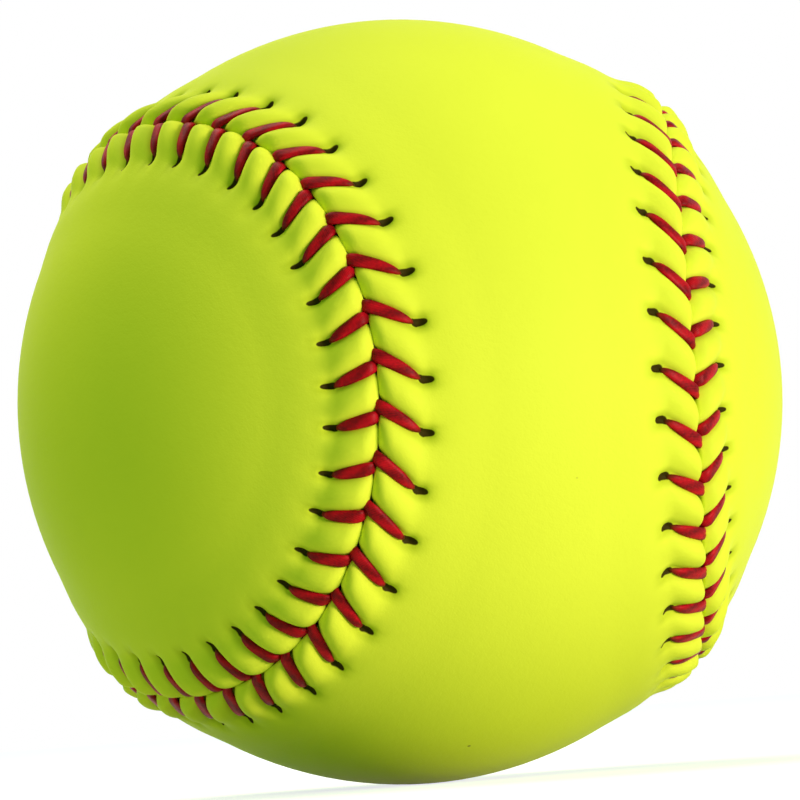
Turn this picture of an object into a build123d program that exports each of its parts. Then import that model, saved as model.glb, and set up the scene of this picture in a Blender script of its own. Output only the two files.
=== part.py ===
import os
from bisect import bisect
from math import cos, hypot, pi, sin, tan

from build123d import *

# A sewn 12-inch softball: a moulded core, two cement films, two figure-eight cover panels and two threads.
# Millimetres. The origin is the middle of the ball. The front panel's waist faces -Y and the back panel's
# waist faces +Y. The planes X = 0 and Z = 0 mirror the seam, and +Z is up.

# Ball and layers
body_diameter = 96.2  # over smooth leather, away from the raised seam
cover_thickness = 1.6
cement_thickness = 0.4
bond_gap = 0.03  # between one layer and the next

# Stitching
stitch_count = 88
stitch_phase_share = 0.43  # of a stitch, between the start of the seam's length and the first stitch
thread_diameter = 1.1
thread_clearance = 0.08
hole_distance = 5.7  # from the seam to each row of holes
stitch_lean = 2.55  # how far a thread goes along the seam between its hole and the seam
crossing_spread = 1.5  # between the two threads where they dive into the seam
thread_bend = 0.7  # radius of the thread's middle where it turns into leather
thread_end_gap = 2.0  # between the two ends of one thread, under the leather

# Raised edge of each panel
seam_gap = 0.16  # between the two panels
edge_rise = 0.55  # leather under a thread at the seam, above the body
hole_rise = 0.1  # leather under a thread at its hole, above the body
pillow_rise = 1.9  # top of the leather between two stitches, above the body
roof_margin = 0.9  # from the middle of a hole to the end of the raised leather's flat underside
band_margin = 1.2  # from the middle of a hole to where the raised leather meets the smooth body
notch_ease = 0.6  # length over which a panel's edge draws back for the threads

# Shape of the seam: a closed wave of three humps laid over a saddle, before it is drawn onto the sphere
hump_share = 0.48
saddle_share = 1.125
seam_steps = 40 * stitch_count
patch_steps = 8  # spline steps along one stitch

# Lines of the raised leather: how far each lies towards the holes, and how high its pillows reach
line_shares = (0.0, 0.16, 0.45, 0.78, 1.0)
crest_shares = (0.78, 0.98, 1.0, 0.66, 0.16)
pillow_fullness = 1.5  # the power of a sine wave that gives one pillow along the seam

body_radius = body_diameter / 2
inner_radius = body_radius - cover_thickness
cement_radius = inner_radius - bond_gap
cement_inner_radius = cement_radius - cement_thickness
core_radius = cement_inner_radius - bond_gap
thread_radius = thread_diameter / 2
thread_room = thread_radius + thread_clearance
roof_width = hole_distance + roof_margin
band_width = hole_distance + band_margin
edge_share = (seam_gap / 2 + thread_room) / hole_distance  # of a thread's run, where it passes a panel's edge
crossing_top = body_radius + edge_rise + thread_room
hole_top = body_radius + hole_rise + thread_room


def seam_direction(angle):
    """Unit vector from the middle of the ball to the seam, which runs once round as the angle does."""
    x = cos(angle) - hump_share * cos(3 * angle)
    y = -saddle_share * cos(2 * angle)
    z = -sin(angle) - hump_share * sin(3 * angle)
    return Vector(x, y, z).normalized()


# The seam's length up to each of many angles, which places the stitches evenly
seam_angles = [2 * pi * step / seam_steps for step in range(seam_steps + 1)]
seam_outs = [seam_direction(angle) for angle in seam_angles]
seam_lengths = [0.0]
for before, after in zip(seam_outs, seam_outs[1:]):
    seam_lengths.append(seam_lengths[-1] + body_radius * (after - before).length)
seam_length = seam_lengths[-1]
stitch_pitch = seam_length / stitch_count

# A thread's straight run under the leather dips below its two ends, and still clears the core
under_run = hypot(stitch_pitch - stitch_lean + crossing_spread / 2, hole_distance)
under_radius = (core_radius + thread_room) / cos(under_run / (2 * body_radius))
roof_radius = under_radius + thread_room


def seam_place(along, across, radius):
    """Point at a length along the seam, a length to its side and a distance from the ball's middle."""
    wanted = along % seam_length
    step = min(bisect(seam_lengths, wanted) - 1, seam_steps - 1)
    part = (wanted - seam_lengths[step]) / (seam_lengths[step + 1] - seam_lengths[step])
    angle = seam_angles[step] + part * (seam_angles[step + 1] - seam_angles[step])
    out = seam_direction(angle)
    ahead = seam_direction(angle + pi / seam_steps) - seam_direction(angle - pi / seam_steps)
    side = out.cross(ahead).normalized()
    turn = across / body_radius
    return (out * cos(turn) + side * sin(turn)) * radius


def crossing_along(stitch, side):
    """Length along the seam at which the thread that lies over one side's leather dives."""
    return (stitch + stitch_phase_share) * stitch_pitch - side * crossing_spread / 2


def hole_along(stitch):
    """Length along the seam of a stitch's two holes, one in each panel."""
    return (stitch + stitch_phase_share) * stitch_pitch - stitch_lean


def thread_run_place(stitch, side, share):
    """Point on a thread's straight run over one panel, at a share of the way from the seam to its hole."""
    crossing = seam_place(crossing_along(stitch, side), 0, crossing_top)
    hole = seam_place(hole_along(stitch), side * hole_distance, hole_top)
    return crossing + (hole - crossing) * share


def edge_across(along, side):
    """Where a panel's edge stands beside the seam: further back where the threads pass."""
    number = along / stitch_pitch - stitch_phase_share
    offset = abs(number - round(number)) * stitch_pitch
    reach = crossing_spread / 2 + thread_room
    ease = min(max((reach + notch_ease - offset) / notch_ease, 0), 1)
    smooth = ease * ease * (3 - 2 * ease)
    return side * (seam_gap / 2 + smooth * thread_room)


def edge_place(stitch, side, radius):
    """Point on a panel's edge, level with the crossing of a stitch number."""
    along = crossing_along(stitch, side)
    return seam_place(along, edge_across(along, side), radius)


def stitch_line(place_at):
    """One spline edge a stitch, through the places of its whole and fractional stitch numbers."""
    edges = []
    for stitch in range(stitch_count):
        numbers = [stitch + step / patch_steps for step in range(patch_steps + 1)]
        edges.append(Edge.make_spline([place_at(number) for number in numbers]))
    return edges


def even_line(across, radius):
    """Line at one distance from the seam and from the middle of the ball."""
    return stitch_line(lambda number: seam_place(hole_along(number), across, radius))


def pillow_line(side, share, crest_share):
    """Line along the raised leather that dips under every thread and swells between them."""
    crest = body_radius + crest_share * pillow_rise

    def place_at(number):
        run = thread_run_place(number, side, max(share, edge_share))
        valley = run.length - thread_room
        swell = abs(sin(pi * number)) ** pillow_fullness
        radius = valley + (crest - valley) * swell
        return run.normalized() * radius if share else edge_place(number, side, radius)

    return stitch_line(place_at)


def strips(lines):
    """One ruled face a stitch between each line and the next."""
    faces = []
    for line, next_line in zip(lines, lines[1:]):
        faces += [Face.make_surface_from_curves(one, other) for one, other in zip(line, next_line)]
    return faces


def seam_cutter():
    """Ring along the seam, as wide as both raised edges, that parts a hollow ball into two panels."""
    low, high = core_radius, body_radius + pillow_rise
    corners = ((-band_width, low), (band_width, low), (band_width, high), (-band_width, high))
    lines = [even_line(across, radius) for across, radius in corners]
    return Solid(Shell(strips(lines + lines[:1])))


def parted_shell(outer, inner, cutter):
    """Front and back pieces of a hollow ball without its raised edges."""
    with BuildPart(mode=Mode.PRIVATE) as hollow:
        Sphere(outer, rotation=(0, 0, -90))
        Sphere(inner, rotation=(0, 0, -90), mode=Mode.SUBTRACT)
        add(cutter, mode=Mode.SUBTRACT)
    return hollow.part.solids().sort_by(Axis.Y)


def panel_blank(smooth_piece, side):
    """A panel before its holes: the smooth piece's round faces, sewn to its raised and hollow edge."""
    round_faces = smooth_piece.faces().filter_by(GeomType.SPHERE)
    lines = [pillow_line(side, share, crest) for share, crest in zip(line_shares, crest_shares)]
    lines.insert(0, stitch_line(lambda number: edge_place(number, side, roof_radius)))
    lines.insert(0, even_line(side * roof_width, roof_radius))
    lines.insert(0, even_line(side * band_width, inner_radius))
    lines.append(even_line(side * band_width, body_radius))
    return Solid(Shell(round_faces + strips(lines)))


def hole_places(side):
    """Where one panel is punched, square to the ball."""
    places = []
    for stitch in range(stitch_count):
        middle = seam_place(hole_along(stitch), side * hole_distance, roof_radius)
        places.append(Plane(origin=middle, z_dir=middle.normalized()).location)
    return places


def thread_points(first_side):
    """Corners of a thread: up a hole, over that panel, down the seam and under the other panel."""
    points = []
    for stitch in range(stitch_count):
        side = first_side if stitch % 2 == 0 else -first_side
        across = side * hole_distance
        points.append(seam_place(hole_along(stitch), across, under_radius))
        points.append(seam_place(hole_along(stitch), across, hole_top))
        points.append(seam_place(crossing_along(stitch, side), 0, crossing_top))
        points.append(seam_place(crossing_along(stitch, side), 0, under_radius))
    home = points[0] - points[-1]
    points.append(points[-1] + home * (1 - thread_end_gap / home.length))
    return points


def rounded_route(points, bend):
    """Straight runs through the points, with an arc of one radius at each corner."""
    edges = []
    start = points[0]
    for before, corner, after in zip(points, points[1:], points[2:]):
        back = (before - corner).normalized()
        ahead = (after - corner).normalized()
        half_turn = (pi - back.get_angle(ahead) * pi / 180) / 2
        cut = bend * tan(half_turn)
        inward = (back + ahead).normalized()
        middle = corner + inward * (bend / cos(half_turn) - bend)
        edges.append(Edge.make_line(start, corner + back * cut))
        edges.append(Edge.make_three_point_arc(corner + back * cut, middle, corner + ahead * cut))
        start = corner + ahead * cut
    edges.append(Edge.make_line(start, points[-1]))
    return Wire(edges)


os.makedirs("parts", exist_ok=True)
cutter = seam_cutter()
sides = (("front", -1), ("back", 1))

# The core: one moulded ball
with BuildPart() as core:
    Sphere(core_radius)
core.part.label = "core"
export_step(core.part, "parts/core.step")

# The cement: a film under the smooth part of each panel, and none where the threads run
films = parted_shell(cement_radius, cement_inner_radius, cutter)
for (side_name, _), film in zip(sides, films):
    with BuildPart() as cement_film:
        add(film)
    cement_film.part.label = f"cement_film_{side_name}"
    export_step(cement_film.part, f"parts/cement_film_{side_name}.step")

# The cover: two panels of one shape, each with a hole for every stitch
smooth_pieces = parted_shell(body_radius, inner_radius, cutter)
for (side_name, side), smooth_piece in zip(sides, smooth_pieces):
    with BuildPart() as cover_panel:
        add(panel_blank(smooth_piece, side))
        with Locations(hole_places(side)):
            Cylinder(thread_room, 2 * pillow_rise, mode=Mode.SUBTRACT)
    cover_panel.part.label = f"cover_panel_{side_name}"
    export_step(cover_panel.part, f"parts/cover_panel_{side_name}.step")

# The threads: each runs round the whole seam, and starts on its own side, so they swap at every stitch
for thread_number, (_, side) in zip(("one", "two"), sides):
    route = rounded_route(thread_points(side), thread_bend)
    with BuildPart() as seam_thread:
        with BuildSketch(Plane(origin=route @ 0, z_dir=route % 0)):
            Circle(thread_radius)
        sweep(path=route)
    seam_thread.part.label = f"seam_thread_{thread_number}"
    export_step(seam_thread.part, f"parts/seam_thread_{thread_number}.step")

print(f"seam {seam_length:.1f} mm round, one stitch every {stitch_pitch:.2f} mm")
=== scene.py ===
"""A sewn yellow softball: two leather panels, two waxed threads, and what lies under them."""

import bmesh
import bpy
import numpy as np
from mathutils import Matrix, Vector


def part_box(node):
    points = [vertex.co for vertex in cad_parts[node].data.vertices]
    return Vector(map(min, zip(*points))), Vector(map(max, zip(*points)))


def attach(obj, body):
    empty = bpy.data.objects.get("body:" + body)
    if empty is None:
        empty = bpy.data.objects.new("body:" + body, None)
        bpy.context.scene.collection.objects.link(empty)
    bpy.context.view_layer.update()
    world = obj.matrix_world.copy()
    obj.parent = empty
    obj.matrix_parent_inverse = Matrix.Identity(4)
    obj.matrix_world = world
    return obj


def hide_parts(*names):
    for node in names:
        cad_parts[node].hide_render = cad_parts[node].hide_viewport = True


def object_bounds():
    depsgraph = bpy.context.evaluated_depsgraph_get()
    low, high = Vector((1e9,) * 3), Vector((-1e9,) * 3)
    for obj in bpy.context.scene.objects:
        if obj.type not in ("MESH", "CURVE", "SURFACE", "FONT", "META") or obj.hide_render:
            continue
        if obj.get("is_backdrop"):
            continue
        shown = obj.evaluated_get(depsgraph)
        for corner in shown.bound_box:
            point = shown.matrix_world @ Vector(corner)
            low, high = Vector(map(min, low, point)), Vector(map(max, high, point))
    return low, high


bl_info = {
    "name": "Sewn Softball",
    "version": (1, 0, 0),
    "blender": (4, 5, 0),
    "location": "View3D > Sidebar > Softball",
    "description": "Models the leather panels and threads of a softball over its solid parts",
    "category": "Add Mesh",
}

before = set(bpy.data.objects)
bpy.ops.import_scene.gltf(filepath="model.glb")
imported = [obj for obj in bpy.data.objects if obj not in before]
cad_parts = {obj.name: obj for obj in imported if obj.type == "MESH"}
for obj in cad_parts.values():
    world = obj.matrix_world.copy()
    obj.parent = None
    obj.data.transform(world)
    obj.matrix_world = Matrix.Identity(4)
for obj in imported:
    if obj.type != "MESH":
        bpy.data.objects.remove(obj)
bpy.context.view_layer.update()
panel_low, panel_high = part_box("cover_panel_front")
solid_diameter = panel_high[2] - panel_low[2]

MM = 0.001
FRONT, BACK = -1, 1

# Shape of the seam, as in the solid parts
HUMP_SHARE = 0.48
SADDLE_SHARE = 1.125
SEAM_STEPS = 7040
PHASE_SHARE = 0.43

# The same at the rim of the smooth leather, where the two halves of a panel meet column by column
RIM_PHASE_SHARE = 0.5

# Grid of a panel: columns as shares of a stitch, close together beside the thread, and rows of smooth leather
COLUMN_SHARES = (0.0, 0.035, 0.07, 0.1, 0.13, 0.16, 0.2, 0.26, 0.33, 0.41)
OUTER_ROWS = 12
INNER_ROWS = 6

# Rows beside the seam, in millimetres from it, close together at the lip and at the holes
BAND_ROWS = (14.0, 12.0, 10.2, 8.8, 8.0, 7.3, 6.9, 6.6, 6.3, 5.95, 5.6, 5.25, 4.9, 4.6, 4.2, 3.7,
             3.2, 2.65, 2.15, 1.7, 1.3, 0.95, 0.65, 0.4, 0.2, 0.0)

# Heights above the smooth body, in millimetres, at distances from the seam in millimetres
HEIGHT_AT = (0.0, 1.0, 2.1, 3.3, 4.4, 5.2, 5.9, 6.8, 8.0, 9.6, 11.5, 14.0)
CREST_HEIGHTS = (1.95, 2.08, 2.05, 1.85, 1.42, 1.02, 0.76, 0.58, 0.48, 0.38, 0.18, 0.0)
VALLEY_HEIGHTS = (0.55, 0.6, 0.6, 0.5, 0.28, 0.12, 0.1, 0.34, 0.43, 0.38, 0.18, 0.0)

# Middle of a thread from the hole to the seam: share of the way, height above the body in millimetres,
# and width as a share of the thread's
LEG_SHARES = (0.85, 0.855, 0.847, 0.82, 0.75, 0.63, 0.49, 0.335, 0.2, 0.1, 0.02, 0.0, 0.0)
LEG_HEIGHTS = (-1.3, -0.8, -0.2, 0.18, 0.5, 0.74, 0.88, 0.98, 1.05, 0.98, 0.5, -0.3, -1.3)
LEG_WIDTHS = (0.4, 0.4, 0.42, 0.5, 0.68, 0.86, 0.98, 1.04, 1.08, 1.06, 0.96, 0.85, 0.75)
LEG_RINGS = 27

# Where a thread dives, as a share of the way from the seam to its hole
DIVE_SHARES = {FRONT: -0.06, BACK: 0.03}

# A thread has its whole lean at the first share of that way, and keeps leaning past the seam to the second
FULL_LEAN_SHARE, PAST_SEAM_SHARE = 0.9, -0.2

# Rows of a panel's underside, in millimetres from the seam: below its raised edge, then below smooth leather
ROOF_ROWS = (0.5, 2.5, 5.0, 7.6)
INNER_START = 7.9

# The stitching shapes the leather out to the first distance, and its slant fades from the second, in metres
BAND_WIDTH, FADE_START = BAND_ROWS[0] * MM, BAND_ROWS[5] * MM

# Uneven stitching: how far a hole strays along the seam and away from it, in metres, and how much the
# height of the leather between two threads varies, each with the seed of its random numbers
SIDEWAYS_STRAY, SIDEWAYS_SEED = 0.28 * MM, 11
OUTWARD_STRAY, OUTWARD_SEED = 0.22 * MM, 31
FULLNESS_STRAY, FULLNESS_SEED = 0.06, 23

# Leather under a thread stays low for this far to each side of the thread's middle, in metres
BED_WIDTH = 0.52 * MM

# The lip rolls down towards the seam, less beside a thread, and draws back where a thread dives, in metres
LIP_WIDTH, LIP_DROP, LEAST_DROP_SHARE = 1.7 * MM, 1.15 * MM, 0.3
DRAW_BACK, DRAW_BACK_WIDTH, DRAW_BACK_FALL = 0.45 * MM, 0.8 * MM, 1.7

# Dent round a hole: half length, half width and depth in metres, and how many of those halves it reaches
DENT_LENGTH, DENT_WIDTH, DENT_DEPTH, DENT_REACH = 1.0 * MM, 0.5 * MM, 0.5 * MM, 1.3

# Painted shade on a thread where it dives: it begins below a height above the body, and is full this much
# lower, in metres
TUCK_HEIGHT, TUCK_LENGTH = 0.5 * MM, 0.8 * MM

# Groove between a thread's two strands, as shares of its half thickness and half width
GROOVE_DEPTH, GROOVE_WIDTH, GROOVE_WANDER = 0.22, 0.2, 0.12
WANDER_LENGTH = 2.1 * MM

# Part of a thread's thickness that doesn't change with its width
STEADY_SHARE = 0.7

# Points of a mesh that are this close become one, in metres
MERGE_DISTANCE = 0.002 * MM

# Distance from the seam that is given to leather without marks, in metres
FAR = 1.0


class SoftballSizes(bpy.types.PropertyGroup):
    """Real sizes of the ball and its stitching."""

    body_diameter: bpy.props.FloatProperty(
        name="Body diameter", description="Over smooth leather, away from the seam",
        default=solid_diameter, unit="LENGTH", precision=5)
    cover_thickness: bpy.props.FloatProperty(
        name="Cover thickness", description="Leather away from the seam",
        default=1.6 * MM, unit="LENGTH", precision=5)
    roof_depth: bpy.props.FloatProperty(
        name="Roof depth", description="Underside of the raised edge, below the body's surface",
        default=0.65 * MM, unit="LENGTH", precision=5)
    stitch_count: bpy.props.IntProperty(
        name="Stitches", description="Chevrons round the whole seam", default=88, min=8)
    hole_distance: bpy.props.FloatProperty(
        name="Hole distance", description="From the seam to the middle of each hole",
        default=5.7 * MM, unit="LENGTH", precision=5)
    stitch_lean: bpy.props.FloatProperty(
        name="Stitch lean", description="How far a thread goes along the seam from its hole",
        default=2.55 * MM, unit="LENGTH", precision=5)
    crossing_spread: bpy.props.FloatProperty(
        name="Crossing spread", description="Between the two threads where they dive",
        default=1.2 * MM, unit="LENGTH", precision=5)
    thread_width: bpy.props.FloatProperty(
        name="Thread width", description="Flat width of the waxed thread",
        default=1.52 * MM, unit="LENGTH", precision=5)
    thread_thickness: bpy.props.FloatProperty(
        name="Thread thickness", description="Flat thickness of the waxed thread",
        default=0.8 * MM, unit="LENGTH", precision=5)


class SoftballColours(bpy.types.PropertyGroup):
    """Colours of the leather, the thread and the hidden layers."""

    leather: bpy.props.FloatVectorProperty(
        name="Leather", description="Optic yellow of the panels", subtype="COLOR",
        default=(0.77, 0.89, 0.06), min=0, max=1)
    # Painted shade in the folds beside the threads
    leather_fold_shade: bpy.props.FloatVectorProperty(
        name="Leather in folds", description="Darker yellow beside the threads", subtype="COLOR",
        default=(0.36, 0.5, 0.004), min=0, max=1)
    # Painted shade of a punched hole, also of a thread where it dives into one; the same colour marks small
    # specks of dirt
    hole: bpy.props.FloatVectorProperty(
        name="Hole", description="Dark leather inside a punched hole", subtype="COLOR",
        default=(0.045, 0.034, 0.005), min=0, max=1)
    thread: bpy.props.FloatVectorProperty(
        name="Thread", description="Waxed red thread", subtype="COLOR",
        default=(0.56, 0.004, 0.016), min=0, max=1)
    # Painted shade between the two strands, and the darker red of the fibres
    thread_shade_and_fibres: bpy.props.FloatVectorProperty(
        name="Thread grooves", description="Red between the strands", subtype="COLOR",
        default=(0.11, 0.001, 0.004), min=0, max=1)
    foam: bpy.props.FloatVectorProperty(
        name="Core", description="Moulded foam of the core", subtype="COLOR",
        default=(0.78, 0.7, 0.5), min=0, max=1)
    cement: bpy.props.FloatVectorProperty(
        name="Cement", description="Dried adhesive film", subtype="COLOR",
        default=(0.7, 0.55, 0.28), min=0, max=1)


def seam_direction(angle):
    """Unit vectors from the middle of the ball to the seam, for an array of angles."""
    x = np.cos(angle) - HUMP_SHARE * np.cos(3 * angle)
    y = -SADDLE_SHARE * np.cos(2 * angle)
    z = -np.sin(angle) - HUMP_SHARE * np.sin(3 * angle)
    return unit(np.stack((x, y, z), axis=-1))


def unit(vectors):
    """The same directions with a length of one."""
    return vectors / np.linalg.norm(vectors, axis=-1, keepdims=True)


seam_angles = np.linspace(0, 2 * np.pi, SEAM_STEPS + 1)
seam_steps = np.linalg.norm(np.diff(seam_direction(seam_angles), axis=0), axis=1)
seam_turns = np.concatenate(((0.0,), np.cumsum(seam_steps)))


class Seam:
    """The seam of a ball of one size, with lengths in metres along it and to its side."""

    def __init__(self, sizes):
        self.radius = sizes.body_diameter / 2
        self.length = seam_turns[-1] * self.radius
        self.pitch = self.length / sizes.stitch_count
        self.count = sizes.stitch_count
        self.hole_distance = sizes.hole_distance
        self.lean = sizes.stitch_lean
        self.spread = sizes.crossing_spread

    def directions(self, along, across):
        """Unit vectors at lengths along the seam and to its side."""
        angle = np.interp((along / self.radius) % seam_turns[-1], seam_turns, seam_angles)
        out = seam_direction(angle)
        nudge = np.pi / SEAM_STEPS
        ahead = seam_direction(angle + nudge) - seam_direction(angle - nudge)
        side = unit(np.cross(out, ahead))
        turn = (across / self.radius)[..., None]
        return out * np.cos(turn) + side * np.sin(turn)

    def shear(self, across, side):
        """How far along the seam a thread lies from its rim column, at a distance to one side."""
        crossing = -side * self.spread / 2
        share = np.clip(across / (FULL_LEAN_SHARE * self.hole_distance), PAST_SEAM_SHARE, 1)
        lean = crossing + share * (-self.lean - crossing)
        shift = (PHASE_SHARE - RIM_PHASE_SHARE) * self.pitch
        return (lean + shift) * fade(across, FADE_START, BAND_WIDTH)


def fade(at, start, end):
    """One up to the start and none from the end, smoothly."""
    share = np.clip((end - at) / (end - start), 0, 1)
    return share * share * (3 - 2 * share)


def smooth_curve(at, knots, values):
    """Cubic curve through given values, without corners at the knots."""
    knots = np.asarray(knots, float)
    values = np.asarray(values, float)
    slopes = np.gradient(values, knots)
    at = np.clip(at, knots[0], knots[-1])
    left = np.clip(np.searchsorted(knots, at, side="right") - 1, 0, len(knots) - 2)
    width = knots[left + 1] - knots[left]
    t = (at - knots[left]) / width
    return ((1 + 2 * t) * (1 - t) ** 2 * values[left] + t * (1 - t) ** 2 * width * slopes[left]
            + t * t * (3 - 2 * t) * values[left + 1] + t * t * (t - 1) * width * slopes[left + 1])


def uneven(count, side, seed):
    """Small number for each stitch of one side, the same in every run."""
    return np.random.RandomState(seed + side).uniform(-1, 1, count)


def sideways_slips(seam, side):
    """How far each stitch's hole lies from its even place along the seam."""
    return SIDEWAYS_STRAY * uneven(seam.count, side, SIDEWAYS_SEED)


def outward_slips(seam, side):
    """How far each stitch's hole lies from its even distance to the seam."""
    return OUTWARD_STRAY * uneven(seam.count, side, OUTWARD_SEED)


class Columns:
    """Lines across the band of a panel, sheared so that they run beside the threads."""

    def __init__(self, seam, side):
        mirrored = [-share for share in reversed(COLUMN_SHARES[1:])]
        shares = np.array([-0.5, *mirrored, *COLUMN_SHARES])
        self.seam = seam
        self.side = side
        self.share = np.append(np.tile(shares, seam.count), -0.5)
        self.stitch = np.append(np.repeat(np.arange(seam.count), len(shares)), 0)
        turn = np.append(np.repeat(np.arange(seam.count), len(shares)), seam.count)
        self.along = (turn + RIM_PHASE_SHARE + self.share) * seam.pitch
        self.window = np.cos(np.pi * self.share) ** 2
        self.offset = np.abs(self.share) * seam.pitch

    def place_along(self, across):
        """Lengths along the seam of the columns, at a distance from it."""
        slip = sideways_slips(self.seam, self.side)[self.stitch] * self.window
        slip = slip * np.clip(across / self.seam.hole_distance, 0, 1)
        slip = slip * fade(across, FADE_START, BAND_WIDTH)
        return self.along + self.seam.shear(across, self.side) + slip

    def pillow(self):
        """Number of the pillow on which each column lies."""
        return np.where(self.share < 0, self.stitch - 1, self.stitch) % self.seam.count


def leather_rise(columns, across):
    """Height of the leather above the body on the columns, and how far it swells between threads."""
    seam = columns.seam
    lean = seam.lean / np.hypot(seam.lean, seam.hole_distance)
    apart = columns.offset * np.sqrt(1 - lean * lean)
    half = seam.pitch * np.sqrt(1 - lean * lean) / 2
    share = np.clip((apart - BED_WIDTH) / (half - BED_WIDTH), 0, 1)
    swell = 1 - (1 - share) ** 2
    fullness = 1 + FULLNESS_STRAY * uneven(seam.count, columns.side, FULLNESS_SEED)[columns.pillow()]
    valley = smooth_curve(across / MM, HEIGHT_AT, VALLEY_HEIGHTS) * MM
    crest = smooth_curve(across / MM, HEIGHT_AT, CREST_HEIGHTS) * MM * fullness
    height = valley + (crest - valley) * swell
    roll = np.clip(1 - across / LIP_WIDTH, 0, 1)
    height = height - LIP_DROP * roll**2 * (LEAST_DROP_SHARE + (1 - LEAST_DROP_SHARE) * swell)
    hole = seam.hole_distance + outward_slips(seam, columns.side)[columns.stitch]
    length = (across - hole) / DENT_LENGTH
    width = columns.offset / DENT_WIDTH
    dent = np.clip(DENT_REACH - np.sqrt(length**2 + width**2), 0, 1)
    return height - DENT_DEPTH * dent * dent * (3 - 2 * dent), swell


def middle_direction(directions, side):
    """Where a line across a panel meets the plane that halves it."""
    middle = directions.copy()
    middle[..., 0 if side == FRONT else 2] = 0
    return unit(middle)


def between(start, end, share):
    """Directions along the shortest arc from one direction to another."""
    turn = np.arccos(np.clip(np.sum(start * end, axis=-1, keepdims=True), -1, 1))
    safe = np.maximum(np.sin(turn), 1e-9)
    arc = (np.sin((1 - share) * turn) * start + np.sin(share * turn) * end) / safe
    return np.where(turn < 1e-6, end, arc)


def panel_rows(seam, sizes, side):
    """Rows of points over a panel, each with its distance from the seam where the leather shows marks."""
    columns = Columns(seam, side)
    flat = np.zeros_like(columns.along)
    far = flat + FAR
    rim = seam.directions(columns.place_along(BAND_WIDTH), flat + side * BAND_WIDTH)
    middle = middle_direction(rim, side)
    roof = seam.radius - sizes.roof_depth
    inner = seam.radius - sizes.cover_thickness
    rows = []
    for row in range(OUTER_ROWS):
        rows.append((between(middle, rim, row / OUTER_ROWS) * seam.radius, far))
    slips = outward_slips(seam, side)[columns.stitch] * columns.window
    for distance in BAND_ROWS:
        height, swell = leather_rise(columns, distance * MM)
        drawn_back = DRAW_BACK * np.clip(1 - DRAW_BACK_FALL * swell, 0, 1)
        across = distance * MM + drawn_back * np.exp(-distance * MM / DRAW_BACK_WIDTH)
        directions = seam.directions(columns.place_along(distance * MM), side * across)
        rows.append((directions * (seam.radius + height)[:, None], distance * MM - slips))
    underside = [(distance, roof) for distance in ROOF_ROWS]
    underside.append((INNER_START, inner))
    for distance, radius in underside:
        across = flat + side * distance * MM
        rows.append((seam.directions(columns.place_along(distance * MM), across) * radius, far))
    for row in range(INNER_ROWS + 1):
        rows.append((between(rim, middle, row / INNER_ROWS) * inner, far))
    return rows, columns.offset


def new_piece(name, bm, material):
    """Object of a finished bmesh, smooth, at the origin, with its material."""
    for face in bm.faces:
        face.smooth = True
    mesh = bpy.data.meshes.new(name)
    bm.to_mesh(mesh)
    bm.free()
    mesh.materials.append(material)
    piece = bpy.data.objects.new(name, mesh)
    bpy.context.scene.collection.objects.link(piece)
    return piece


def panel_mesh(seam, sizes, side):
    """Closed leather panel, from a grid that is laid over the ball and merged where it meets itself."""
    rows, offsets = panel_rows(seam, sizes, side)
    last_row, last_column = len(rows) - 1, len(offsets) - 1
    bm = bmesh.new()
    bmesh.ops.create_grid(bm, x_segments=last_column, y_segments=last_row, size=0.5)
    seam_layer = bm.verts.layers.float.new("from_seam")
    thread_layer = bm.verts.layers.float.new("beside_thread")
    for vert in bm.verts:
        column = round((vert.co.x + 0.5) * last_column)
        points, distances = rows[round((vert.co.y + 0.5) * last_row)]
        vert.co = points[column]
        vert[seam_layer] = distances[column]
        vert[thread_layer] = offsets[column]
    bmesh.ops.remove_doubles(bm, verts=bm.verts, dist=MERGE_DISTANCE)
    bmesh.ops.dissolve_degenerate(bm, edges=bm.edges, dist=MERGE_DISTANCE / 2)
    bmesh.ops.recalc_face_normals(bm, faces=bm.faces)
    return bm


def thread_path(seam, first_side):
    """Middles of a thread's rings, the direction of its width there, and its width as a share."""
    knots = np.arange(len(LEG_SHARES))
    steps = np.linspace(0, knots[-1], LEG_RINGS)
    leg_share = smooth_curve(steps, knots, LEG_SHARES)
    height = smooth_curve(steps, knots, LEG_HEIGHTS) * MM
    width = smooth_curve(steps, knots, LEG_WIDTHS)
    nudge = 0.1 * MM
    points, aheads, widths = [], [], []
    for stitch in range(seam.count):
        side = first_side if stitch % 2 == 0 else -first_side
        share = DIVE_SHARES[side] + leg_share * (1 - DIVE_SHARES[side])
        across = share * (seam.hole_distance + outward_slips(seam, side)[stitch])
        slip = sideways_slips(seam, side)[stitch] * np.clip(share, 0, 1)
        along = (stitch + RIM_PHASE_SHARE) * seam.pitch + seam.shear(across, side) + slip
        direction = seam.directions(along, side * across)
        ahead = unit(seam.directions(along + nudge, side * across) - direction)
        points.append(direction * (seam.radius + height)[:, None])
        aheads.append(ahead)
        widths.append(width)
    return np.concatenate(points), np.concatenate(aheads), np.concatenate(widths)


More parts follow.
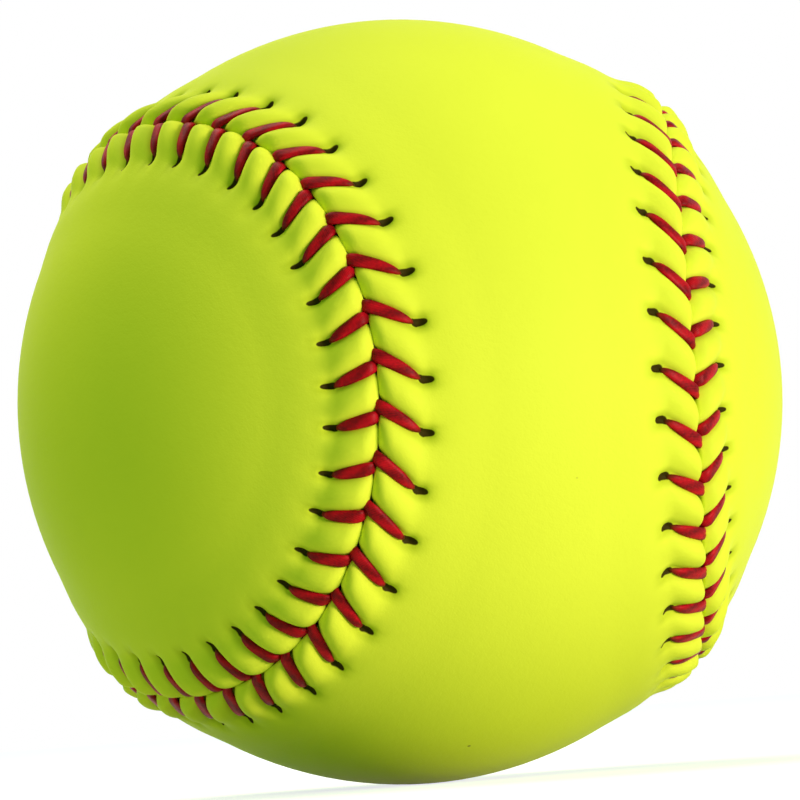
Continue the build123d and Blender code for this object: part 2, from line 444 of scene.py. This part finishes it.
def thread_mesh(seam, sizes, first_side, sides=16):
    """Flat thread with two lobes, from a grid that is rolled into one long tube."""
    points, aheads, widths = thread_path(seam, first_side)
    tangents = unit(np.gradient(points, axis=0))
    wide = unit(aheads - np.sum(aheads * tangents, axis=1, keepdims=True) * tangents)
    tall = np.cross(tangents, wide)
    travelled = np.concatenate(((0.0,), np.cumsum(np.linalg.norm(np.diff(points, axis=0), axis=1))))
    last_ring = len(points) - 1
    bm = bmesh.new()
    bmesh.ops.create_grid(bm, x_segments=last_ring, y_segments=sides, size=0.5)
    # Painted shade where the thread dives below the body
    tucked_shade_layer = bm.verts.layers.float.new("tucked_shade")
    heights = np.linalg.norm(points, axis=1) - seam.radius
    tucked_shade = np.clip((TUCK_HEIGHT - heights) / TUCK_LENGTH, 0, 1)
    place_of = {}
    for vert in bm.verts:
        ring = round((vert.co.x + 0.5) * last_ring)
        turn = vert.co.y + 0.5
        place_of[vert] = (travelled[ring] / sizes.thread_width, turn)
        vert[tucked_shade_layer] = tucked_shade[ring]
        angle = 2 * np.pi * turn
        across, up = np.cos(angle), np.sin(angle)
        wander = GROOVE_WANDER * np.sin(travelled[ring] / WANDER_LENGTH)
        groove = 1 - GROOVE_DEPTH * np.exp(-(((across - wander) / GROOVE_WIDTH) ** 2))
        half_width = sizes.thread_width / 2 * widths[ring]
        half_height = sizes.thread_thickness / 2 * (STEADY_SHARE + (1 - STEADY_SHARE) * widths[ring])
        vert.co = points[ring] + wide[ring] * half_width * across + tall[ring] * half_height * up * groove
    uv_layer = bm.loops.layers.uv.new("thread")
    for face in bm.faces:
        for loop in face.loops:
            loop[uv_layer].uv = place_of[loop.vert]
    bmesh.ops.remove_doubles(bm, verts=bm.verts, dist=MERGE_DISTANCE)
    bmesh.ops.holes_fill(bm, edges=[edge for edge in bm.edges if edge.is_boundary], sides=0)
    bmesh.ops.recalc_face_normals(bm, faces=bm.faces)
    return bm


def new_material(name):
    """Empty node material with its Principled shader."""
    material = bpy.data.materials.new(name)
    material.use_nodes = True
    shader = material.node_tree.nodes["Principled BSDF"]
    return material, material.node_tree, shader


def add_node(tree, kind, inputs=None, **settings):
    """Node with its settings and unlinked input values."""
    node = tree.nodes.new(kind)
    for key, value in settings.items():
        setattr(node, key, value)
    for key, value in (inputs or {}).items():
        node.inputs[key].default_value = value
    return node


def grain_group():
    """Leather or moulded grain: pebbles and pores as a height, and a slow change of shade."""
    if "surface_grain" in bpy.data.node_groups:
        return bpy.data.node_groups["surface_grain"]
    group = bpy.data.node_groups.new("surface_grain", "ShaderNodeTree")
    for name, value in (("Pebble Size", 900.0), ("Pore Size", 2600.0), ("Patch Size", 60.0)):
        socket = group.interface.new_socket(name, in_out="INPUT", socket_type="NodeSocketFloat")
        socket.default_value = value
    group.interface.new_socket("Vector", in_out="INPUT", socket_type="NodeSocketVector")
    group.interface.new_socket("Height", in_out="OUTPUT", socket_type="NodeSocketFloat")
    group.interface.new_socket("Shade", in_out="OUTPUT", socket_type="NodeSocketFloat")
    start = group.nodes.new("NodeGroupInput")
    end = group.nodes.new("NodeGroupOutput")
    pebbles = add_node(group, "ShaderNodeTexVoronoi", feature="SMOOTH_F1")
    pores = add_node(group, "ShaderNodeTexNoise", {"Detail": 3.0})
    patches = add_node(group, "ShaderNodeTexNoise", {"Detail": 2.0})
    mix = add_node(group, "ShaderNodeMath", {1: 0.55}, operation="MULTIPLY_ADD")
    links = group.links
    for node, size in ((pebbles, "Pebble Size"), (pores, "Pore Size"), (patches, "Patch Size")):
        links.new(start.outputs["Vector"], node.inputs["Vector"])
        links.new(start.outputs[size], node.inputs["Scale"])
    links.new(pebbles.outputs["Distance"], mix.inputs[0])
    links.new(pores.outputs["Fac"], mix.inputs[2])
    links.new(mix.outputs[0], end.inputs["Height"])
    links.new(patches.outputs["Fac"], end.inputs["Shade"])
    return group


def mix_colour(tree, factor, first, second):
    """Colour mix node, with a socket or a colour for each side."""
    node = add_node(tree, "ShaderNodeMix", data_type="RGBA")
    for name, value in (("Factor", factor), ("A", first), ("B", second)):
        socket = node.inputs[name]
        if isinstance(value, bpy.types.NodeSocket):
            tree.links.new(value, socket)
        else:
            socket.default_value = value
    return node.outputs["Result"]


def opaque(colour):
    """Colour with full alpha."""
    return (*colour, 1.0)


def add_math(tree, operation, first, second=0.0, third=0.0, clamp=False):
    """Math node, with a socket or a number for each input."""
    node = add_node(tree, "ShaderNodeMath", operation=operation, use_clamp=clamp)
    for socket, value in zip(node.inputs, (first, second, third)):
        if isinstance(value, bpy.types.NodeSocket):
            tree.links.new(value, socket)
        else:
            socket.default_value = value
    return node.outputs[0]


def stitch_shade_group():
    """Masks of a panel's painted shade: in the punched slits, and in the folds beside the threads."""
    if "stitch_shade_masks" in bpy.data.node_groups:
        return bpy.data.node_groups["stitch_shade_masks"]
    group = bpy.data.node_groups.new("stitch_shade_masks", "ShaderNodeTree")
    values = (("From Seam", 0.02), ("Beside Thread", 0.003), ("Hole Distance", 0.0057),
              ("Slit Length", 0.002), ("Slit Width", 0.00085))
    for name, value in values:
        socket = group.interface.new_socket(name, in_out="INPUT", socket_type="NodeSocketFloat")
        socket.default_value = value
    group.interface.new_socket("Slit", in_out="OUTPUT", socket_type="NodeSocketFloat")
    group.interface.new_socket("Fold Shade", in_out="OUTPUT", socket_type="NodeSocketFloat")
    start = group.nodes.new("NodeGroupInput").outputs
    end = group.nodes.new("NodeGroupOutput")
    narrowing, end_power, side_power = 0.25, 4.0, 2.0
    # Slit: painted shade where a hole is punched
    beyond = add_math(group, "SUBTRACT", start["From Seam"], start["Hole Distance"])
    length = add_math(group, "DIVIDE", beyond, add_math(group, "MULTIPLY", start["Slit Length"], 0.5))
    width = add_math(group, "DIVIDE", start["Beside Thread"],
                     add_math(group, "MULTIPLY", start["Slit Width"], 0.5))
    taper = add_math(group, "MULTIPLY_ADD", length, narrowing, 1.0)
    tapered = add_math(group, "MULTIPLY", width, taper)
    reach = add_math(group, "ADD", add_math(group, "POWER", add_math(group, "ABSOLUTE", length), end_power),
                     add_math(group, "POWER", tapered, side_power))
    slit = add_node(group, "ShaderNodeMapRange", {"From Min": 1.25, "From Max": 0.75},
                    interpolation_type="SMOOTHSTEP")
    group.links.new(reach, slit.inputs["Value"])
    group.links.new(slit.outputs["Result"], end.inputs["Slit"])
    # Where the fold shade is painted: close beside a thread, and near the seam
    beside = add_node(group, "ShaderNodeMapRange", {"From Min": 0.0015, "From Max": 0.0005},
                      interpolation_type="SMOOTHSTEP")
    group.links.new(start["Beside Thread"], beside.inputs["Value"])
    near = add_node(group, "ShaderNodeMapRange", {"From Min": 0.0085, "From Max": 0.006},
                    interpolation_type="SMOOTHSTEP")
    group.links.new(start["From Seam"], near.inputs["Value"])
    fold_shade = add_math(group, "MULTIPLY", beside.outputs["Result"], near.outputs["Result"])
    group.links.new(fold_shade, end.inputs["Fold Shade"])
    return group


def leather_material(colours, sizes):
    """Optic yellow leather: fine grain, with painted shade in the folds beside the threads and in the punched
    slits.
    """
    material, tree, shader = new_material("yellow_leather")
    links = tree.links
    coordinates = add_node(tree, "ShaderNodeTexCoord")
    grain = add_node(tree, "ShaderNodeGroup", node_tree=grain_group())
    grain.inputs["Pebble Size"].default_value = 1500.0
    grain.inputs["Pore Size"].default_value = 4200.0
    grain.inputs["Patch Size"].default_value = 45.0
    links.new(coordinates.outputs["Object"], grain.inputs["Vector"])
    marks = add_node(tree, "ShaderNodeGroup", node_tree=stitch_shade_group())
    marks.inputs["Hole Distance"].default_value = sizes.hole_distance
    for socket, attribute in (("From Seam", "from_seam"), ("Beside Thread", "beside_thread")):
        measured = add_node(tree, "ShaderNodeAttribute", attribute_name=attribute)
        links.new(measured.outputs["Fac"], marks.inputs[socket])
    lightening, least_lightening, fold_shade_strength = 1.05, 0.004, 0.5
    lighter = tuple(min(1.0, channel * lightening + least_lightening) for channel in colours.leather)
    patchy = mix_colour(tree, grain.outputs["Shade"], opaque(colours.leather), opaque(lighter))
    # Painted shade in the folds beside the threads, laid over the leather's colour
    shaded = add_math(tree, "MULTIPLY", marks.outputs["Fold Shade"], fold_shade_strength)
    fold_shaded = mix_colour(tree, shaded, patchy, opaque(colours.leather_fold_shade))
    dirt = add_node(tree, "ShaderNodeTexVoronoi", {"Scale": 90.0})
    links.new(coordinates.outputs["Object"], dirt.inputs["Vector"])
    speck = add_node(tree, "ShaderNodeMapRange", {"From Min": 0.028, "From Max": 0.016, "To Max": 0.75})
    links.new(dirt.outputs["Distance"], speck.inputs["Value"])
    # Painted shade in the punched slits, and small specks of dirt, both in the hole's colour
    marked = add_math(tree, "MAXIMUM", marks.outputs["Slit"], speck.outputs["Result"])
    links.new(mix_colour(tree, marked, fold_shaded, opaque(colours.hole)), shader.inputs["Base Color"])
    shader.inputs["Specular IOR Level"].default_value = 0.02
    rough = add_node(tree, "ShaderNodeMapRange", {"To Min": 0.4, "To Max": 0.52})
    links.new(grain.outputs["Height"], rough.inputs["Value"])
    links.new(rough.outputs["Result"], shader.inputs["Roughness"])
    bump = add_node(tree, "ShaderNodeBump", {"Strength": 0.22, "Distance": 0.00012})
    links.new(grain.outputs["Height"], bump.inputs["Height"])
    links.new(bump.outputs["Normal"], shader.inputs["Normal"])
    return material


def thread_material(colours):
    """Waxed red thread: fine fibres along it, and painted shade in the groove between its two strands."""
    material, tree, shader = new_material("waxed_thread")
    links = tree.links
    coordinates = add_node(tree, "ShaderNodeTexCoord")
    parts = add_node(tree, "ShaderNodeSeparateXYZ")
    links.new(coordinates.outputs["UV"], parts.inputs["Vector"])
    twist, fibre_count, strand_count = 0.16, 22, 2
    fibre_depth, strand_depth = 0.18, 0.28
    wound = add_math(tree, "MULTIPLY_ADD", parts.outputs["X"], twist, parts.outputs["Y"])
    fibres = add_math(tree, "SINE", add_math(tree, "MULTIPLY", wound, 2 * np.pi * fibre_count))
    strands = add_math(tree, "SINE", add_math(tree, "MULTIPLY", wound, 2 * np.pi * strand_count))
    fuzz = add_node(tree, "ShaderNodeTexNoise", {"Scale": 2600.0, "Detail": 3.0})
    links.new(coordinates.outputs["Object"], fuzz.inputs["Vector"])
    lines = add_math(tree, "MULTIPLY_ADD", fibres, fibre_depth, fuzz.outputs["Fac"])
    # Painted shade between the strands, with the fibre lines and fuzz
    shade = add_math(tree, "MULTIPLY_ADD", strands, strand_depth, lines, clamp=True)
    red = mix_colour(tree, shade, opaque(colours.thread_shade_and_fibres), opaque(colours.thread))
    # Painted shade, in the hole's colour, where the thread dives
    tucked_shade = add_node(tree, "ShaderNodeAttribute", attribute_name="tucked_shade")
    links.new(mix_colour(tree, tucked_shade.outputs["Fac"], red, opaque(colours.hole)), shader.inputs["Base Color"])
    bump = add_node(tree, "ShaderNodeBump", {"Strength": 0.3, "Distance": 0.00008})
    links.new(shade, bump.inputs["Height"])
    links.new(bump.outputs["Normal"], shader.inputs["Normal"])
    shader.inputs["Roughness"].default_value = 0.42
    shader.inputs["Specular IOR Level"].default_value = 0.1
    return material


def plain_layer_material(name, colour, pebble_size, roughness):
    """Hidden layer with its own grain: moulded foam or dried adhesive."""
    material, tree, shader = new_material(name)
    links = tree.links
    coordinates = add_node(tree, "ShaderNodeTexCoord")
    grain = add_node(tree, "ShaderNodeGroup", node_tree=grain_group())
    grain.inputs["Pebble Size"].default_value = pebble_size
    links.new(coordinates.outputs["Object"], grain.inputs["Vector"])
    darkening = 0.85
    darker = tuple(channel * darkening for channel in colour)
    links.new(mix_colour(tree, grain.outputs["Shade"], opaque(darker), opaque(colour)),
              shader.inputs["Base Color"])
    bump = add_node(tree, "ShaderNodeBump", {"Strength": 0.3, "Distance": 0.0002})
    links.new(grain.outputs["Height"], bump.inputs["Height"])
    links.new(bump.outputs["Normal"], shader.inputs["Normal"])
    shader.inputs["Roughness"].default_value = roughness
    return material


def dress_node(name, material):
    """Gives a solid part its material."""
    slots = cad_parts[name].data.materials
    slots.clear()
    slots.append(material)


class SOFTBALL_OT_cover_panels(bpy.types.Operator):
    """Models the two leather panels with their raised, scalloped edges"""

    bl_idname = "softball.cover_panels"
    bl_label = "Cover Panels"

    def execute(self, context):
        sizes = context.scene.softball_sizes
        seam = Seam(sizes)
        leather = leather_material(context.scene.softball_colours, sizes)
        for name, side in (("cover_panel_front", FRONT), ("cover_panel_back", BACK)):
            piece = new_piece(f"{name}_leather", panel_mesh(seam, sizes, side), leather)
            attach(piece, "root")
            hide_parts(name)
        return {"FINISHED"}


class SOFTBALL_OT_seam_threads(bpy.types.Operator):
    """Models the two waxed threads that close the seam"""

    bl_idname = "softball.seam_threads"
    bl_label = "Seam Threads"

    def execute(self, context):
        sizes = context.scene.softball_sizes
        seam = Seam(sizes)
        waxed = thread_material(context.scene.softball_colours)
        for name, side in (("seam_thread_one", FRONT), ("seam_thread_two", BACK)):
            piece = new_piece(f"{name}_waxed", thread_mesh(seam, sizes, side), waxed)
            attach(piece, "root")
            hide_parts(name)
        return {"FINISHED"}


class SOFTBALL_OT_inner_layers(bpy.types.Operator):
    """Finishes the foam core and the cement films under the cover"""

    bl_idname = "softball.inner_layers"
    bl_label = "Inner Layers"

    def execute(self, context):
        colours = context.scene.softball_colours
        dress_node("core", plain_layer_material("core_foam", colours.foam, 1100.0, 0.75))
        cement = plain_layer_material("dried_cement", colours.cement, 500.0, 0.4)
        dress_node("cement_film_front", cement)
        dress_node("cement_film_back", cement)
        return {"FINISHED"}


class SOFTBALL_OT_studio(bpy.types.Operator):
    """Sets the white floor, the soft lights and the camera"""

    bl_idname = "softball.studio"
    bl_label = "Studio"

    def execute(self, context):
        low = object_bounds()[0][2]
        add_floor(low)
        add_world()
        add_lights()
        add_camera(context.scene.softball_sizes.body_diameter / 2)
        context.scene.view_settings.view_transform = "Standard"
        return {"FINISHED"}


def seen_directly(tree):
    """One where a surface is seen, also in a mirror or through glass, and none where it gives light."""
    path = add_node(tree, "ShaderNodeLightPath").outputs
    return add_math(tree, "MAXIMUM", path["Is Camera Ray"],
                    add_math(tree, "MAXIMUM", path["Is Glossy Ray"], path["Is Transmission Ray"]))


def add_floor(height):
    """Wide floor that keeps the ball's shadow, and is white further away."""
    half_side = 3.0
    material, tree, shader = new_material("white_floor")
    shader.inputs["Base Color"].default_value = (0.6, 0.66, 0.54, 1.0)
    shader.inputs["Roughness"].default_value = 0.9
    shader.inputs["Specular IOR Level"].default_value = 0.0
    shader.inputs["Emission Color"].default_value = (0.94, 0.93, 1.0, 1.0)
    coordinates = add_node(tree, "ShaderNodeTexCoord")
    away = add_node(tree, "ShaderNodeVectorMath", operation="LENGTH")
    tree.links.new(coordinates.outputs["Object"], away.inputs[0])
    glow = add_node(tree, "ShaderNodeMapRange",
                    {"From Min": 0.08, "From Max": 0.3, "To Min": 0.78, "To Max": 1.0})
    tree.links.new(away.outputs["Value"], glow.inputs["Value"])
    tree.links.new(add_math(tree, "MULTIPLY", seen_directly(tree), glow.outputs["Result"]),
                   shader.inputs["Emission Strength"])
    bm = bmesh.new()
    bmesh.ops.create_grid(bm, x_segments=1, y_segments=1, size=half_side)
    bmesh.ops.translate(bm, verts=bm.verts, vec=(0, 0, height))
    new_piece("studio_floor", bm, material)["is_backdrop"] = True


def add_world():
    """White surroundings, which light the ball softly and show as white to the camera."""
    world = bpy.data.worlds.new("studio_white")
    bpy.context.scene.world = world
    world.use_nodes = True
    tree = world.node_tree
    sky = tree.nodes["Background"]
    dim_light, white = (0.06, 0.26, 0.004, 1.0), (1.0, 1.0, 1.0, 1.0)
    tree.links.new(mix_colour(tree, seen_directly(tree), dim_light, white), sky.inputs["Color"])
    sky.inputs["Strength"].default_value = 1.0


def camera_axes():
    """Directions from the ball to the camera, and of the picture's right and top."""
    azimuth, elevation, roll = np.radians((-21.95, -3.0, 4.15))
    level = np.cos(elevation)
    back = Vector((np.sin(azimuth) * level, -np.cos(azimuth) * level, np.sin(elevation)))
    right = Vector((np.cos(azimuth), np.sin(azimuth), 0))
    top = back.cross(right)
    turned_right = right * np.cos(roll) - top * np.sin(roll)
    turned_top = right * np.sin(roll) + top * np.cos(roll)
    return back, turned_right, turned_top


def add_camera(radius):
    """Camera that sees the ball as the photograph does."""
    distance_in_radii, outline_pixels, drop_pixels, picture_pixels, sensor = 15.3, 382.6, 2, 800, 36.0
    distance = distance_in_radii * radius
    focal_pixels = outline_pixels * np.sqrt(distance**2 - radius**2) / radius
    back, right, top = camera_axes()
    data = bpy.data.cameras.new("photo_camera")
    data.sensor_width = sensor
    data.lens = float(focal_pixels / picture_pixels * sensor)
    data.clip_start = 0.01
    data.shift_y = drop_pixels / picture_pixels
    camera = bpy.data.objects.new("photo_camera", data)
    turn = Matrix((right, top, back)).transposed().to_4x4()
    camera.matrix_world = Matrix.Translation(back * distance) @ turn
    bpy.context.scene.collection.objects.link(camera)
    bpy.context.scene.camera = camera


def add_lights():
    """Two soft lamps: one over the ball, and one to the right of the camera."""
    back, right, top = camera_axes()
    # Name, place, width and height in metres, watts, and colour
    lamps = (
        ("top_lamp", top * 0.91 - right * 0.32 - back * 0.26, 0.8, 0.8, 9.1, (1.0, 0.79, 0.72)),
        ("right_lamp", right * 0.74 + top * 0.14 + back * 0.65, 0.4, 0.14, 9.1, (1.0, 0.795, 0.72)),
    )
    for name, place, width, height, power, colour in lamps:
        data = bpy.data.lights.new(name, "AREA")
        data.color = colour
        data.shape = "RECTANGLE"
        data.size = width
        data.size_y = height
        data.energy = power
        lamp = bpy.data.objects.new(name, data)
        lamp.location = place
        lamp.rotation_euler = place.to_track_quat("Z", "Y").to_euler()
        bpy.context.scene.collection.objects.link(lamp)


class SOFTBALL_PT_sidebar(bpy.types.Panel):
    """Steps that build the softball"""

    bl_idname = "SOFTBALL_PT_sidebar"
    bl_label = "Softball"
    bl_space_type = "VIEW_3D"
    bl_region_type = "UI"
    bl_category = "Softball"

    def draw(self, context):
        for operator in OPERATORS:
            self.layout.operator(operator.bl_idname)
        for group in (context.scene.softball_sizes, context.scene.softball_colours):
            for name in group.bl_rna.properties.keys():
                if name not in ("rna_type", "name"):
                    self.layout.prop(group, name)


OPERATORS = (SOFTBALL_OT_cover_panels, SOFTBALL_OT_seam_threads, SOFTBALL_OT_inner_layers, SOFTBALL_OT_studio)
CLASSES = (SoftballSizes, SoftballColours, *OPERATORS, SOFTBALL_PT_sidebar)


def register():
    """Adds the classes, and the sizes and colours of the scene."""
    for item in CLASSES:
        bpy.utils.register_class(item)
    bpy.types.Scene.softball_sizes = bpy.props.PointerProperty(type=SoftballSizes)
    bpy.types.Scene.softball_colours = bpy.props.PointerProperty(type=SoftballColours)


def unregister():
    """Takes them away again."""
    del bpy.types.Scene.softball_colours
    del bpy.types.Scene.softball_sizes
    for item in reversed(CLASSES):
        bpy.utils.unregister_class(item)


def main():
    """Builds the whole scene."""
    register()
    bpy.ops.softball.cover_panels()
    bpy.ops.softball.seam_threads()
    bpy.ops.softball.inner_layers()
    bpy.ops.softball.studio()


if __name__ == "__main__":
    main()
